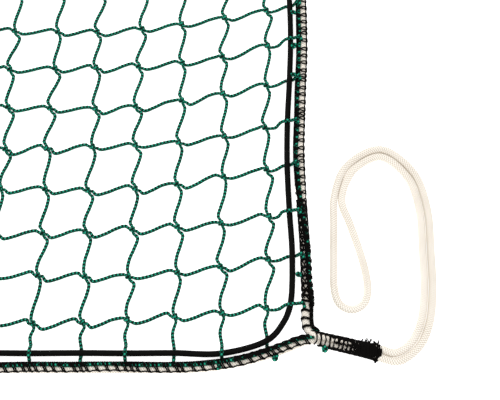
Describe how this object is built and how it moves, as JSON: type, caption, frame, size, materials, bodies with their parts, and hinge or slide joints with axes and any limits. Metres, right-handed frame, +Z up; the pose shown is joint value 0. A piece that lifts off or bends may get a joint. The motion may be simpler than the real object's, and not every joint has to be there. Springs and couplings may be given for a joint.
{
  "type": "knotted cargo net",
  "caption": "Rectangular knotted twine net with an overlock-stitched rope border, a threaded elastic cord and a bound rope lashing loop at each corner, shown laid flat.",
  "frame": {"origin": "middle of the net, on the ground it lies on", "axes": "+X along the long sides towards the right, +Y from the front edge to the back edge, +Z up"},
  "size_m": [1.3654, 0.7306, 0.0143],
  "materials": {
    "green_twine": "matte twisted polypropylene twine, dark and light green",
    "white_rope": "matte braided polypropylene rope, off white",
    "black_thread": "matte black polyester thread",
    "elastic": "smooth black woven sheath over rubber",
    "ferrule_steel": "satin zinc plated"
  },
  "bodies": {
    "left_panel": {"course_01_left": "green_twine", "course_02_left": "green_twine", "course_03_left": "green_twine", "course_04_left": "green_twine", "course_05_left": "green_twine", "course_06_left": "green_twine", "course_07_left": "green_twine", "course_08_left": "green_twine", "course_09_left": "green_twine", "course_10_left": "green_twine", "course_11_left": "green_twine", "course_12_left": "green_twine", "course_13_left": "green_twine", "course_14_left": "green_twine", "course_15_left": "green_twine", "border_rope_left": "white_rope", "border_rope_front_left": "white_rope", "border_rope_back_left": "white_rope", "edge_stitching_left": "black_thread", "edge_stitching_front_left": "black_thread", "edge_stitching_back_left": "black_thread", "selvedge_twine_left": "green_twine", "elastic_cord_left": "elastic"},
    "right_panel": {"course_01_right": "green_twine", "course_02_right": "green_twine", "course_03_right": "green_twine", "course_04_right": "green_twine", "course_05_right": "green_twine", "course_06_right": "green_twine", "course_07_right": "green_twine", "course_08_right": "green_twine", "course_09_right": "green_twine", "course_10_right": "green_twine", "course_11_right": "green_twine", "course_12_right": "green_twine", "course_13_right": "green_twine", "course_14_right": "green_twine", "course_15_right": "green_twine", "border_rope_right": "white_rope", "border_rope_front_right": "white_rope", "border_rope_back_right": "white_rope", "edge_stitching_right": "black_thread", "edge_stitching_front_right": "black_thread", "edge_stitching_back_right": "black_thread", "selvedge_twine_right": "green_twine", "elastic_cord_right": "elastic", "elastic_ferrule": "ferrule_steel"},
    "front_left_corner": {"throat_rope_front_left": "white_rope", "throat_binding_front_left": "black_thread", "lashing_loop_front_left": "white_rope"},
    "front_right_corner": {"throat_rope_front_right": "white_rope", "throat_binding_front_right": "black_thread", "lashing_loop_front_right": "white_rope"},
    "back_left_corner": {"throat_rope_back_left": "white_rope", "throat_binding_back_left": "black_thread", "lashing_loop_back_left": "white_rope"},
    "back_right_corner": {"throat_rope_back_right": "white_rope", "throat_binding_back_right": "black_thread", "lashing_loop_back_right": "white_rope"}
  },
  "joints": [
    {"name": "middle_fold", "type": "hinge", "parent": "left_panel", "child": "right_panel", "pos_m": [0, 0, 0.016], "axis": [0, -1, 0], "range_deg": [0, 180]},
    {"name": "front_left_swing", "type": "hinge", "parent": "left_panel", "child": "front_left_corner", "pos_m": [-0.5595, -0.33, 0.0046], "axis": [0, 0, 1], "range_deg": [-6, 60]},
    {"name": "front_right_swing", "type": "hinge", "parent": "right_panel", "child": "front_right_corner", "pos_m": [0.5595, -0.33, 0.0046], "axis": [0, 0, -1], "range_deg": [-6, 60]},
    {"name": "back_left_swing", "type": "hinge", "parent": "left_panel", "child": "back_left_corner", "pos_m": [-0.5595, 0.33, 0.0046], "axis": [0, 0, -1], "range_deg": [-6, 60]},
    {"name": "back_right_swing", "type": "hinge", "parent": "right_panel", "child": "back_right_corner", "pos_m": [0.5595, 0.33, 0.0046], "axis": [0, 0, 1], "range_deg": [-6, 60]}
  ]
}
